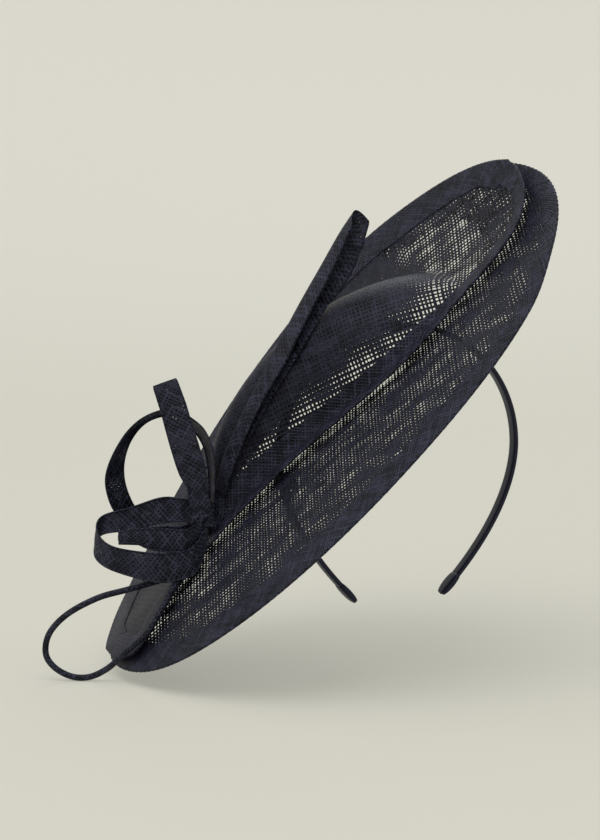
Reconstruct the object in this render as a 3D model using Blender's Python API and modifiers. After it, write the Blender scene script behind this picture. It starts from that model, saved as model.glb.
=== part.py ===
"""Sinamay fascinator: a tilted saucer with a folded crown piece, a quill and loops, on a spring headband.

Row frame: metres, origin on the underside of the headband's crest, +X across the head towards the raised
side of the disc, +Y from the wearer's front side to the back, +Z up. Two working frames are used besides:
the disc frame (x along the disc's long axis, y across it, z out of it) and the trim frame, which is the disc
frame leant back about the long axis so that the quill and the loops stand upright in it. Their numbers are
in centimetres.
"""

import math

import bmesh
import bpy
import numpy as np
from mathutils import Matrix, Vector

CM = 0.01
MM = 0.001

# Headband: a sprung steel strip in a satin sleeve.
BAND_HALF_WIDTH = 6.6 * CM  # centre line, at its widest
BAND_CROWN_DROP = 6.35 * CM  # from the crest down to the widest place
BAND_LEG_DROP = 6.7 * CM  # from the widest place down to the end of the sleeve
LEG_CURVE = 0.01532  # how the legs close in below the widest place, per cm to the power below
LEG_POWER = 1.85
SLEEVE_WIDTH = 6.5 * MM
SLEEVE_DEPTH = 2.6 * MM
SLEEVE_WALL = 0.4 * MM
CORE_WIDTH = 4.8 * MM
CORE_DEPTH = 0.9 * MM
TIP_LENGTH = 11 * MM
TIP_WIDTH = 8.5 * MM
TIP_DEPTH = 3.8 * MM
RIGHT_HINGE_ARC = 2.4 * CM  # along the centre line from the crest
LEFT_HINGE_ARC = 12.2 * CM
HINGE_GAP = 0.8 * MM
TIP_CORE_SHORT = 1 * MM  # the steel stops this far inside the sleeve's end
FIT_GAP = 0.3 * MM

# Disc: where its centre is, and how it is turned.
DISC_CENTRE = Vector((-4.42, -1.29, -4.25)) * CM
DISC_TILT = math.radians(-47.5)  # about Y: the long axis climbs towards +X
DISC_YAW = math.radians(-11.0)  # then about the disc's own normal
DISC_ROLL = math.radians(-1.8)  # then about its long axis
TRIM_LEAN = math.radians(22.0)

# Saucer, in the disc frame.
SAUCER_A = 15.9
SAUCER_B = 9.7
RIM_STATIONS = 64
HEM_WIDTH = 1.9
SHEET = 0.6 * MM
HEM_SHEET = 0.4 * MM
HEM_GAP = 0.12  # centimetres between the sheet's middle and a hem layer's middle
HEM_FOLD = 0.1
HEM_START = 0.1
WIRE_OUT = 0.02
CUT_IN = 0.07  # from the rim to the sheet's cut edge
WIRE_RADIUS = 0.35 * MM
LAYER_GAP = 0.34  # centimetres between the saucer and the crown piece

# Height of the saucer's rim round the ellipse: (degrees from the upper tip, centimetres).
RIM_HEIGHTS = (
    (0, 0.8), (20, 1.55), (45, 1.75), (65, 1.65), (90, 0.85), (120, -0.25), (141, -0.75), (160, -0.65),
    (180, -0.3), (205, -0.55), (230, -0.55), (270, -0.5), (310, -0.5), (325, -0.05), (343, 0.35),
)
# The opening in the saucer that the crown piece covers.
OPENING = (
    (12.0, 2.2), (11.4, 0.2), (9.6, -1.1), (6.5, -2.0), (4.0, -2.0), (1.1, -1.25), (-2.1, -0.3),
    (-4.8, 0.4), (-7.5, 1.8), (-9.4, 4.0), (-6.3, 6.7), (-1.5, 7.9), (4.0, 7.7), (9.0, 5.8), (11.4, 4.0),
)
OPENING_CENTRE = (1.2, 2.6)
# The crown piece's near edge, from the upper tip to the lower: x, y and height.
RIDGE = (
    (15.45, 2.14, 1.55), (15.42, 1.5, 1.5), (15.3, 0.8, 1.42), (15.05, 0.0, 1.3), (14.7, -0.8, 1.15),
    (14.1, -1.5, 1.0), (13.1, -2.3, 0.8), (11.1, -2.6, 0.6), (8.85, -2.65, 0.52), (6.5, -2.9, 0.5),
    (4.0, -2.85, 0.5),
    (1.1, -2.1, 0.5), (-2.1, -1.2, 0.5), (-4.8, -0.65, 0.45), (-7.6, -0.4, 0.4), (-11.0, -0.95, 0.32),
    (-13.2, -1.9, 0.2), (-14.6, -2.1, 0.08), (-15.25, -1.5, 0.02), (-15.55, -0.8, 0.0),
    (-15.7, -0.1, 0.0), (-15.76, 0.5, 0.0), (-15.77, 1.09, 0.0),
)
FAR_INSET = 0.15
RIDGE_HEM_WIDTH = 0.7
SAUCER_SPINE = ((-12.0, 0.0), (12.0, 0.0))
CROWN_SPINE = ((-13.4, -0.2), (-8.0, 3.2), (8.0, 2.6), (13.2, 1.2))
RIDGE_FALL = 5.0  # how soon the raised near edge falls back to the sheet
CROWN_HEIGHT = 3.75
CROWN_PEAK_X = 0.8
CROWN_REACH_UP = 8.4
CROWN_REACH_DOWN = 9.2
CROWN_FAR_FOOT = 1.1
CROWN_FAR_REACH = 3.0
CROWN_NEAR_GAP = 0.75  # from the ridge to the crown's near foot
CROWN_ROWS = 15
CROWN_FOOT_ROWS = (0.0, 0.33, 0.68, 1.08)  # from the sheet's near edge

# Quill, in the trim frame: a blade folded lengthwise. Its fold, its front edge and its rear edge.
QUILL_FOLD = (
    (-6.3, 1.85, -0.05), (-5.0, 2.6, -0.25), (-3.8, 3.05, -0.45), (-2.4, 3.5, -0.7), (-0.6, 4.0, -0.8),
    (1.2, 4.5, -0.7), (3.3, 5.05, -0.55), (5.3, 5.5, -0.4), (7.2, 5.95, -0.3), (8.4, 6.15, -0.25),
)
QUILL_FRONT = (
    (-6.2, 1.3, -0.3), (-5.2, 1.85, -0.55), (-4.0, 2.3, -0.85), (-2.8, 2.75, -1.1), (-1.2, 3.2, -1.4),
    (0.5, 3.55, -1.55), (2.3, 4.1, -1.6), (3.7, 4.5, -1.5), (5.2, 4.9, -1.4), (7.7, 5.75, -1.15),
)
QUILL_REAR = (
    (-6.3, 1.45, -0.1), (-5.1, 1.95, -0.25), (-3.9, 2.2, -0.6), (-1.35, 2.85, -1.1), (1.2, 3.35, -1.45),
    (2.7, 3.7, -1.35), (4.0, 3.95, -0.95), (5.6, 4.1, -0.5), (7.1, 4.6, -0.2), (8.5, 5.3, 0.1),
)
QUILL_SHEET = 0.8 * MM
QUILL_WIRE_OUT = 0.09

# Strips, in the trim frame: matching places on their two edges, six numbers a row.
STRIP = 0.8 * MM
TAIL_STRIP = (
    (-7.35, 2.65, -0.7, -6.75, 1.95, -0.9), (-6.95, 3.65, -0.75, -5.95, 2.85, -1.1),
    (-6.4, 4.65, -0.8, -5.3, 3.9, -1.25), (-5.85, 5.55, -0.85, -4.75, 4.9, -1.3),
    (-5.35, 6.35, -0.85, -4.25, 5.75, -1.2), (-4.7, 7.5, -0.8, -3.65, 6.95, -1.0),
)
ROUND_LOOP = (
    (-6.25, 1.95, -0.95, -6.4, 2.2, -0.1), (-5.2, 2.95, -1.05, -5.5, 3.2, -0.1),
    (-4.7, 3.8, -0.9, -5.1, 3.95, 0.2), (-4.55, 4.7, -0.55, -5.0, 4.65, 0.55),
    (-4.9, 6.0, -0.4, -5.1, 5.8, 0.8), (-6.0, 6.75, -0.35, -6.15, 6.55, 0.85),
    (-7.4, 6.9, -0.3, -7.4, 6.55, 0.85), (-9.1, 6.45, -0.15, -8.55, 6.0, 0.9),
    (-10.05, 5.7, 0.15, -9.35, 5.1, 1.05), (-10.6, 4.4, 0.75, -9.8, 3.9, 1.5),
    (-10.1, 2.9, 1.15, -9.45, 3.0, 2.15), (-9.0, 1.95, 0.85, -8.55, 2.35, 1.75),
)
MIDDLE_LOOP = (
    (-7.85, 2.75, 0.1, -8.7, 2.05, 0.1), (-8.5, 3.5, 0.2, -9.45, 2.7, 0.2),
    (-9.85, 4.25, 0.35, -10.75, 3.6, 0.35), (-11.0, 4.95, 0.2, -11.8, 4.4, 0.2),
    (-11.6, 4.9, -0.2, -12.5, 4.2, -0.2), (-11.9, 4.3, -0.9, -12.8, 3.65, -0.9),
    (-11.7, 3.4, -1.4, -12.55, 2.65, -1.4), (-10.65, 1.9, -1.7, -11.6, 0.9, -1.7),
    (-9.9, 1.15, -1.6, -10.8, 0.15, -1.6), (-9.1, 0.65, -1.3, -9.85, -0.25, -1.3),
)
INNER_LOOP = (
    (-8.75, 1.75, -0.3, -9.5, 1.1, -0.3), (-9.55, 2.55, -0.25, -10.2, 1.95, -0.25),
    (-10.75, 3.6, -0.3, -11.25, 3.15, -0.3), (-11.1, 3.85, -0.6, -11.5, 3.45, -0.6),
    (-10.5, 3.4, -0.95, -10.95, 2.95, -0.95), (-9.95, 2.85, -1.05, -10.65, 2.2, -1.05),
    (-9.3, 2.15, -1.05, -10.1, 1.4, -1.05), (-8.75, 1.5, -1.0, -9.5, 0.8, -1.0),
)
# Wired loop: a narrow tube of sinamay, its centre line from the knot, down to the floor and back.
WIRE_LOOP = (
    (-10.2, 0.55, -0.7), (-10.8, 0.45, -0.9), (-11.8, 1.0, -1.05), (-12.8, 1.6, -1.15), (-14.1, 2.4, -1.25),
    (-15.7, 2.95, -1.25), (-17.0, 2.95, -1.15), (-17.85, 2.4, -1.05), (-18.05, 1.6, -0.95),
    (-17.8, 0.7, -0.9), (-17.2, 0.05, -0.95), (-16.25, -0.3, -1.3), (-15.0, -0.4, -2.0),
    (-13.6, -0.5, -2.55), (-12.1, -0.18, -2.1), (-11.2, 0.05, -1.5), (-10.4, 0.18, -1.16),
)
WIRE_LOOP_RADIUS = 1.55 * MM
WIRE_LOOP_WALL = 0.5 * MM
WIRE_LOOP_CORE = 0.5 * MM

KNOT_CENTRE = (-7.85, -0.08, 1.42)
KNOT_RADII = (0.72, 0.55, 0.45)

# Keepers: ribbon folded round the band where it passes through the disc.
UPPER_KEEPER_ARC = -0.4 * CM
LOWER_KEEPER_ARC = -11.3 * CM
KEEPER_WIDTH = 8 * MM
KEEPER_LENGTH = 13 * MM  # from the band's middle to the sewn ends
KEEPER_SHEET = 0.7 * MM
KEEPER_CLEAR = 0.8 * MM  # from the sleeve to the middle of the ribbon

NAVY = (0.013, 0.014, 0.026, 1.0)
NAVY_DARK = (0.008, 0.009, 0.017, 1.0)
SATIN = (0.016, 0.017, 0.032, 1.0)
STEEL = (0.45, 0.45, 0.46, 1.0)


def clear_scene():
    for item in list(bpy.data.objects):
        bpy.data.objects.remove(item, do_unlink=True)


def make_collection(name):
    collection = bpy.data.collections.new(name)
    bpy.context.scene.collection.children.link(collection)
    return collection


def make_material(name, colour, roughness, metallic=0.0):
    material = bpy.data.materials.new(name)
    material.use_nodes = True
    shader = material.node_tree.nodes["Principled BSDF"]
    shader.inputs["Base Color"].default_value = colour
    shader.inputs["Roughness"].default_value = roughness
    shader.inputs["Metallic"].default_value = metallic
    return material


def spline(points, count, closed=False):
    """Points spread along the smooth curve through the given ones."""
    points = [np.array(p, float) for p in points]
    total = len(points)
    spans = total if closed else total - 1

    def at(i):
        if closed:
            return points[i % total]
        if i < 0:
            return 2 * points[0] - points[1]
        if i >= total:
            return 2 * points[-1] - points[-2]
        return points[i]

    fine = []
    steps = 24
    for i in range(spans):
        a, b, c, d = at(i - 1), at(i), at(i + 1), at(i + 2)
        for k in range(steps):
            t = k / steps
            bend = (2 * a - 5 * b + 4 * c - d) * t**2 + (3 * b - 3 * c + d - a) * t**3
            fine.append(0.5 * (2 * b + (c - a) * t + bend))
    fine.append(at(spans))
    fine = np.array(fine)
    lengths = np.linalg.norm(np.diff(fine[:, : min(3, fine.shape[1])], axis=0), axis=1)
    along = np.concatenate([[0], np.cumsum(lengths)])
    wanted = np.linspace(0, along[-1], count, endpoint=not closed)
    return np.column_stack([np.interp(wanted, along, fine[:, k]) for k in range(fine.shape[1])])


def add_object(name, mesh, material, collection):
    item = bpy.data.objects.new(name, mesh)
    mesh.materials.append(material)
    collection.objects.link(item)
    return item


def sheet(name, columns, rows, place, thickness, material, collection, frame):
    """A grid laid over a shape: place(column, row) gives a point, and the sheet gets its thickness."""
    mesh = bpy.data.meshes.new(name)
    work = bmesh.new()
    bmesh.ops.create_grid(work, x_segments=columns, y_segments=rows, size=0.5)
    for vertex in work.verts:
        column = round((vertex.co.x + 0.5) * columns)
        row = round((vertex.co.y + 0.5) * rows)
        vertex.co = frame @ Vector(place(column, row))
    bmesh.ops.remove_doubles(work, verts=work.verts, dist=0.02 * MM)
    bmesh.ops.recalc_face_normals(work, faces=work.faces)
    work.to_mesh(mesh)
    work.free()
    mesh.shade_smooth()
    item = add_object(name, mesh, material, collection)
    solid = item.modifiers.new("Thickness", "SOLIDIFY")
    solid.thickness = thickness
    solid.offset = 0.0
    solid.use_even_offset = True
    return item


def tube(name, points, radius, closed, material, collection, frame, sides=0):
    curve = bpy.data.curves.new(name, "CURVE")
    curve.dimensions = "3D"
    curve.bevel_depth = radius
    curve.bevel_resolution = sides
    curve.use_fill_caps = not closed
    line = curve.splines.new("POLY")
    line.points.add(len(points) - 1)
    for target, point in zip(line.points, points):
        target.co = (*(frame @ Vector(point)), 1.0)
    line.use_cyclic_u = closed
    return add_object(name, curve, material, collection)


# ---------------------------------------------------------------- frames


def disc_frame():
    """From the disc's centimetres to the row's metres."""
    yaw_and_roll = Matrix.Rotation(DISC_YAW, 4, "Z") @ Matrix.Rotation(DISC_ROLL, 4, "X")
    turn = Matrix.Rotation(DISC_TILT, 4, "Y") @ yaw_and_roll
    return Matrix.Translation(DISC_CENTRE) @ turn @ Matrix.Scale(CM, 4)


def trim_frame():
    """From the trim's centimetres (x along the disc, y back, z up) to the row's metres."""
    return disc_frame() @ Matrix.Rotation(-TRIM_LEAN, 4, "X")


# ---------------------------------------------------------------- disc


def rim_height(angle):
    """Height of the saucer's rim, smoothly through the listed places."""
    degrees = math.degrees(angle) % 360
    count = len(RIM_HEIGHTS)
    later = next((i for i, (place, _) in enumerate(RIM_HEIGHTS) if place > degrees), count)

    def knot(i):
        place, height = RIM_HEIGHTS[i % count]
        return place + 360 * (i // count), height

    (x0, y0), (x1, y1), (x2, y2), (x3, y3) = (knot(later + k) for k in (-2, -1, 0, 1))
    slope1 = (y2 - y0) / (x2 - x0)
    slope2 = (y3 - y1) / (x3 - x1)
    span = x2 - x1
    t = (degrees - x1) / span
    rise = (2 * t**3 - 3 * t**2 + 1) * y1 + (3 * t**2 - 2 * t**3) * y2
    return rise + span * ((t**3 - 2 * t**2 + t) * slope1 + (t**3 - t**2) * slope2)


def saucer_height(x, y):
    """The saucer's sheet: flat in the middle, turned up or down towards its rim."""
    angle = math.atan2(y / SAUCER_B, x / SAUCER_A)
    out = math.hypot(x / SAUCER_A, y / SAUCER_B)
    power = 3.1 - 0.9 * math.sin(angle)
    return rim_height(angle) * out**power


def saucer_rim(station):
    angle = 2 * math.pi * station / RIM_STATIONS
    x = SAUCER_A * math.cos(angle)
    y = SAUCER_B * math.sin(angle)
    return x, y


def far_edge(x):
    return SAUCER_B * math.sqrt(max(0.0, 1 - (x / SAUCER_A) ** 2)) - FAR_INSET


RIDGE_LINE = spline(RIDGE, 400)[::-1]


def ridge_at(x):
    """(y, height) of the crown piece's near edge."""
    return (
        float(np.interp(x, RIDGE_LINE[:, 0], RIDGE_LINE[:, 1])),
        float(np.interp(x, RIDGE_LINE[:, 0], RIDGE_LINE[:, 2])),
    )


def crown_rise(x, y):
    """The dome's height above the sheet that it grows out of."""
    reach = CROWN_REACH_UP if x > CROWN_PEAK_X else CROWN_REACH_DOWN
    along = abs(x - CROWN_PEAK_X) / reach
    if along >= 1:
        return 0.0
    near = ridge_at(x)[0] + CROWN_NEAR_GAP
    far = CROWN_FAR_FOOT + CROWN_FAR_REACH * math.sqrt(1 - along**2)
    across = abs(2 * (y - near) / (far - near) - 1)
    if across >= 1:
        return 0.0
    return CROWN_HEIGHT * (1 - along**2.2) ** 0.9 * (1 - across**2.2) ** 0.9


def crown_sheet_height(x, y):
    near, lift = ridge_at(x)
    far = far_edge(x)
    across = min(1.0, max(0.0, (y - near) / (far - near)))
    raised = lift - saucer_height(x, near) - LAYER_GAP
    return saucer_height(x, y) + LAYER_GAP + raised * (1 - across) ** RIDGE_FALL + crown_rise(x, y)


def crown_stations(low, high):
    """x of each line across the crown piece, closer together towards the tips."""
    middle, half = (low + high) / 2, (high - low) / 2
    count = RIM_STATIONS // 2
    return [middle + half * math.cos(math.pi * i / count) for i in range(count + 1)]


def crown_rim():
    """The closed edge: along the ridge from the upper tip, and back along the far side."""
    stations = crown_stations(RIDGE[-1][0], RIDGE[0][0])
    near = [(x, ridge_at(x)[0]) for x in stations]
    far = [(x, far_edge(x)) for x in stations[-2:0:-1]]
    return [(x, y, crown_sheet_height(x, y)) for x, y in near + far]


def crown_hem_widths():
    """Narrow along the ridge, wide round the far side, and changing gently at the two tips."""
    count = RIM_STATIONS // 2
    widths = []
    for i in range(2 * count):
        from_tip = min(i, abs(count - i)) if i <= count else -min(i - count, 2 * count - i)
        share = min(1.0, max(0.0, 0.5 - from_tip / 8))
        widths.append(RIDGE_HEM_WIDTH + (HEM_WIDTH - RIDGE_HEM_WIDTH) * share)
    return widths


def towards(spine, point):
    """Level unit direction from a rim point to the nearest place on the spine, and how far that is."""
    best = None
    for start, end in zip(spine, spine[1:]):
        start, end = np.array(start), np.array(end)
        run = end - start
        share = np.clip((np.array(point) - start) @ run / (run @ run), 0, 1)
        gap = start + run * share - np.array(point)
        if best is None or np.linalg.norm(gap) < np.linalg.norm(best):
            best = gap
    distance = float(np.linalg.norm(best))
    return best / distance, distance


def off_sheet(height, x, y, gap):
    """The point that stands off the sheet at (x, y) by a gap along its normal."""
    step = 0.02
    slope_x = (height(x + step, y) - height(x - step, y)) / (2 * step)
    slope_y = (height(x, y + step) - height(x, y - step)) / (2 * step)
    scale = gap / math.sqrt(1 + slope_x**2 + slope_y**2)
    return x - slope_x * scale, y - slope_y * scale, height(x, y) + scale


def hem_sections(rim, spine, height, widths):
    """For each rim station, the folded strip's line: top inner edge, over the fold, bottom inner edge."""
    sections = []
    for (x, y, h), width in zip(rim, widths):
        way, distance = towards(spine, (x, y))
        edge = np.array([x, y])
        inner = edge + way * min(width, 0.8 * distance)
        half = (inner + edge) / 2
        start = edge + way * HEM_START
        fold = edge - way * HEM_FOLD
        bend = edge - way * HEM_FOLD * 0.7
        upper = [off_sheet(height, *place, HEM_GAP) for place in (inner, half, start)]
        lower = [off_sheet(height, *place, -HEM_GAP) for place in (start, half, inner)]
        turn = [(*bend, h + HEM_GAP * 0.7), (*fold, h), (*bend, h - HEM_GAP * 0.7)]
        sections.append(upper + turn + lower)
    return sections


def hem(name, rim, spine, height, widths, material, collection, frame):
    sections = hem_sections(rim, spine, height, widths)
    count = len(sections)

    def place(column, row):
        return sections[column % count][row]

    return sheet(name, count, len(sections[0]) - 1, place, HEM_SHEET, material, collection, frame)


def edge_wire(name, rim, spine, material, collection, frame):
    """The wire lies in the hem's fold, just outside the sheet's cut edge."""
    points = []
    for x, y, h in rim:
        way, _ = towards(spine, (x, y))
        points.append((x - way[0] * WIRE_OUT, y - way[1] * WIRE_OUT, h))
    return tube(name, points, WIRE_RADIUS, True, material, collection, frame)


def saucer(collection, materials):
    frame = disc_frame()
    hole = spline(OPENING, 720, closed=True)
    centre = np.array(OPENING_CENTRE)
    bearing = np.arctan2((hole[:, 1] - centre[1]) * SAUCER_A / SAUCER_B, hole[:, 0] - centre[0])
    rows = 5

    def inner(angle):
        nearest = np.argmin(np.abs(np.angle(np.exp(1j * (bearing - angle)))))
        return hole[nearest]

    def place(column, row):
        station = column % RIM_STATIONS
        outer = np.array(saucer_rim(station))
        outer = outer + towards(SAUCER_SPINE, outer)[0] * CUT_IN
        start = inner(2 * math.pi * station / RIM_STATIONS)
        x, y = start + (outer - start) * row / rows
        return x, y, saucer_height(x, y)

    rim = [(*saucer_rim(i), saucer_height(*saucer_rim(i))) for i in range(RIM_STATIONS)]
    widths = [HEM_WIDTH] * len(rim)
    sheet("saucer_brim", RIM_STATIONS, rows, place, SHEET, materials["sinamay"], collection, frame)
    hem("saucer_hem", rim, SAUCER_SPINE, saucer_height, widths, materials["hem"], collection, frame)
    edge_wire("saucer_wire", rim, SAUCER_SPINE, materials["steel"], collection, frame)


def cut_edge(line):
    """An edge of the crown piece moved in to where its sheet is cut."""
    return np.array([np.array(point) + towards(CROWN_SPINE, point)[0] * CUT_IN for point in line])


def crown_piece(collection, materials):
    frame = disc_frame()
    near_cut = cut_edge(RIDGE_LINE[:, :2])
    far_cut = cut_edge([(x, far_edge(x)) for x in RIDGE_LINE[:, 0]])
    stations = crown_stations(near_cut[0][0], near_cut[-1][0])
    foot = len(CROWN_FOOT_ROWS)

    def place(column, row):
        """Close rows along the ridge and the crown's foot, and even ones from there to the far edge."""
        x = stations[column]
        near = np.interp(x, near_cut[:, 0], near_cut[:, 1])
        far = np.interp(x, far_cut[:, 0], far_cut[:, 1])
        start = min(CROWN_FOOT_ROWS[-1], (far - near) / 4)
        if row < foot:
            y = near + CROWN_FOOT_ROWS[row] * start / CROWN_FOOT_ROWS[-1]
        else:
            y = near + start + (far - near - start) * (row + 1 - foot) / (CROWN_ROWS + 1 - foot)
        return x, y, crown_sheet_height(x, y)

    rim = crown_rim()
    widths = crown_hem_widths()
    spans = len(stations) - 1
    sheet("crown_brim", spans, CROWN_ROWS, place, SHEET, materials["sinamay"], collection, frame)
    hem("crown_hem", rim, CROWN_SPINE, crown_sheet_height, widths, materials["hem"], collection, frame)
    edge_wire("crown_wire", rim, CROWN_SPINE, materials["steel"], collection, frame)


# ---------------------------------------------------------------- quill and loops


def trim_point(x, rise, depth):
    """The trim tables give x, rise and depth: the frame's own order is x, depth, rise."""
    return x, depth, rise


def strip(name, rows, stations, material, collection):
    """A flat strip between two edges that run smoothly through the rows."""
    edges = spline(rows, stations + 1)
    columns = 2

    def place(column, row):
        near, far = edges[row][:3], edges[row][3:]
        return trim_point(*(near + (far - near) * column / columns))

    return sheet(name, columns, stations, place, STRIP, material, collection, trim_frame())


def quill(collection, materials):
    stations = 20
    fold = spline(QUILL_FOLD, stations + 1)
    front = spline(QUILL_FRONT, stations + 1)
    rear = spline(QUILL_REAR, stations + 1)
    columns = 6

    def place(column, row):
        """Across the blade: rear edge, round the fold, front edge."""
        share = column / columns
        bend = 2 * fold[row] - (rear[row] + front[row]) / 2
        ends = (1 - share) ** 2 * rear[row] + share**2 * front[row]
        return trim_point(*(ends + 2 * share * (1 - share) * bend))

    cloth, frame = materials["sinamay"], trim_frame()
    sheet("quill_blade", columns, stations, place, QUILL_SHEET, cloth, collection, frame)
    wire = []
    for edge, middle in zip(front, fold):
        out = (edge - middle) / np.linalg.norm(edge - middle)
        wire.append(trim_point(*(edge + out * QUILL_WIRE_OUT)))
    tube("quill_wire", wire, WIRE_RADIUS, False, materials["steel"], collection, frame)


def loops(collection, materials):
    cloth = materials["sinamay"]
    strip("tail_strip", TAIL_STRIP, 12, cloth, collection)
    strip("round_loop", ROUND_LOOP, 32, cloth, collection)
    strip("middle_loop", MIDDLE_LOOP, 32, cloth, collection)
    strip("inner_loop", INNER_LOOP, 24, cloth, collection)


def wire_loop(collection, materials):
    """A tube of sinamay drawn over a wire."""
    frame = trim_frame()
    stations = 46
    line = [np.array(trim_point(*p)) for p in spline(WIRE_LOOP, stations + 1)]
    sides = 6
    radius = (WIRE_LOOP_RADIUS - WIRE_LOOP_WALL / 2) / CM

    def place(column, row):
        after = line[min(row + 1, stations)]
        before = line[max(row - 1, 0)]
        run = (after - before) / np.linalg.norm(after - before)
        side = np.cross(run, (0.0, 1.0, 0.0))
        side /= np.linalg.norm(side)
        lift = np.cross(side, run)
        angle = 2 * math.pi * column / sides
        return line[row] + radius * (side * math.cos(angle) + lift * math.sin(angle))

    cover = materials["sinamay"]
    sheet("wire_loop_cover", sides, stations, place, WIRE_LOOP_WALL, cover, collection, frame)
    tube("wire_loop_wire", line, WIRE_LOOP_CORE, False, materials["steel"], collection, frame)


def knot(collection, materials):
    mesh = bpy.data.meshes.new("knot_wrap")
    work = bmesh.new()
    bmesh.ops.create_uvsphere(work, u_segments=16, v_segments=10, radius=1.0)
    frame = trim_frame() @ Matrix.Translation(KNOT_CENTRE) @ Matrix.Diagonal((*KNOT_RADII, 1.0))
    bmesh.ops.transform(work, matrix=frame, verts=work.verts)
    work.to_mesh(mesh)
    work.free()
    mesh.shade_smooth()
    add_object("knot_wrap", mesh, materials["hem"], collection)


# ---------------------------------------------------------------- headband


def half_band():
    """The band's right half, from the crest: arc length, x and z of its centre line, in metres."""
    crest = SLEEVE_DEPTH / 2
    points = []
    for i in range(91):
        angle = math.radians(i)
        x = BAND_HALF_WIDTH * math.sin(angle)
        points.append((x, crest - BAND_CROWN_DROP * (1 - math.cos(angle))))
    for i in range(1, 75):
        drop = BAND_LEG_DROP * i / 74
        x = BAND_HALF_WIDTH * (1 - LEG_CURVE * (drop / CM) ** LEG_POWER)
        points.append((x, crest - BAND_CROWN_DROP - drop))
    points = np.array(points)
    arc = np.concatenate([[0], np.cumsum(np.linalg.norm(np.diff(points, axis=0), axis=1))])
    return arc, points[:, 0], points[:, 1]


BAND_ARC, BAND_X, BAND_Z = half_band()
BAND_END = float(BAND_ARC[-1])


def band_at(arc):
    """Centre, run and outward normal of the band, at a signed arc length from the crest."""
    side = 1 if arc >= 0 else -1
    step = 1 * MM

    def spot(length):
        length = min(max(length, 0.0), BAND_END)
        return np.array([np.interp(length, BAND_ARC, BAND_X), 0.0, np.interp(length, BAND_ARC, BAND_Z)])

    here = spot(abs(arc))
    run = spot(abs(arc) + step) - spot(abs(arc) - step)
    run /= np.linalg.norm(run)
    out = np.array([-run[2], 0.0, run[0]])
    if side < 0:
        here[0], run, out[0] = -here[0], run * (1, 1, -1), -out[0]
    return here, run, out


def sleeve(name, start, end, stations, material, collection):
    sides = 8
    half_width = (SLEEVE_WIDTH - SLEEVE_WALL) / 2
    half_depth = (SLEEVE_DEPTH - SLEEVE_WALL) / 2
    squareness = 0.5

    def rounded(value):
        return math.copysign(abs(value) ** squareness, value)

    def place(column, row):
        here, _, out = band_at(start + (end - start) * row / stations)
        angle = 2 * math.pi * (column + 0.5) / sides
        across = np.array([0.0, half_width * rounded(math.cos(angle)), 0.0])
        return here + across + out * half_depth * rounded(math.sin(angle))

    sheet(name, sides, stations, place, SLEEVE_WALL, material, collection, Matrix.Identity(4))


def core(name, start, end, stations, material, collection):
    """The steel strip: a flat outline across the head, given the strip's width front to back."""
    outline = []
    for side in (1, -1):
        arcs = [start + (end - start) * i / stations for i in range(stations + 1)][::side]
        for arc in arcs:
            here, _, out = band_at(arc)
            outline.append(here + out * side * CORE_DEPTH / 2)
    curve = bpy.data.curves.new(name, "CURVE")
    curve.dimensions = "2D"
    curve.fill_mode = "BOTH"
    curve.extrude = CORE_WIDTH / 2
    line = curve.splines.new("POLY")
    line.points.add(len(outline) - 1)
    for target, point in zip(line.points, outline):
        target.co = (point[0], point[2], 0.0, 1.0)
    line.use_cyclic_u = True
    item = add_object(name, curve, material, collection)
    item.rotation_euler = (math.radians(90), 0.0, 0.0)


def band_tip(name, side, material, collection):
    """A rounded cap past the end of the sleeve."""
    here, run, _ = band_at(side * BAND_END)
    run = run * side
    centre = Vector(here + run * (FIT_GAP + TIP_LENGTH / 2))
    bpy.ops.mesh.primitive_cube_add(size=1.0)
    tip = bpy.context.object
    tip.name = name
    tip.data.name = name
    tip.data.transform(Matrix.Diagonal((TIP_DEPTH, TIP_WIDTH, TIP_LENGTH, 1.0)))
    lean = math.atan2(-run[0], -run[2])
    tip.rotation_euler = (0.0, lean, 0.0)
    tip.location = centre
    for owner in list(tip.users_collection):
        owner.objects.unlink(tip)
    collection.objects.link(tip)
    tip.data.materials.append(material)
    bevel = tip.modifiers.new("Rounded", "BEVEL")
    bevel.width = TIP_DEPTH * 0.42
    bevel.segments = 3
    tip.data.shade_smooth()


def headband(collection, materials):
    half_gap = HINGE_GAP / 2
    inside = TIP_CORE_SHORT
    spans = {
        "left": (-BAND_END, -LEFT_HINGE_ARC - half_gap, 9),
        "crest": (-LEFT_HINGE_ARC + half_gap, RIGHT_HINGE_ARC - half_gap, 18),
        "right": (RIGHT_HINGE_ARC + half_gap, BAND_END, 20),
    }
    for label, (start, end, stations) in spans.items():
        sleeve(f"band_sleeve_{label}", start, end, stations, materials["satin"], collection)
        trim_start = inside if label == "left" else 0.0
        trim_end = inside if label == "right" else 0.0
        first, last = start + trim_start, end - trim_end
        core(f"band_core_{label}", first, last, stations, materials["steel"], collection)
    band_tip("band_tip_left", -1, materials["satin"], collection)
    band_tip("band_tip_right", 1, materials["satin"], collection)


def keeper(name, arc, toward, material, collection):
    """A ribbon folded round the band, both ends running off together to where they are sewn down."""
    here, run, out = band_at(arc)
    toward = np.array(toward, float)
    depth = SLEEVE_DEPTH / 2 + KEEPER_CLEAR
    reach = SLEEVE_WIDTH / 2
    line = [(KEEPER_LENGTH, depth), (KEEPER_LENGTH / 2, depth), (0.0, depth), (-reach, depth)]
    turns = 5
    for i in range(1, turns):
        angle = math.pi * i / turns
        line.append((-reach - depth * math.sin(angle), depth * math.cos(angle)))
    line += [(along, -level) for along, level in reversed(line[:4])]

    def place(column, row):
        along, level = line[row]
        return here + toward * along + out * level + run * KEEPER_WIDTH * (column / 3 - 0.5)

    sheet(name, 3, len(line) - 1, place, KEEPER_SHEET, material, collection, Matrix.Identity(4))


# ---------------------------------------------------------------- build


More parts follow.
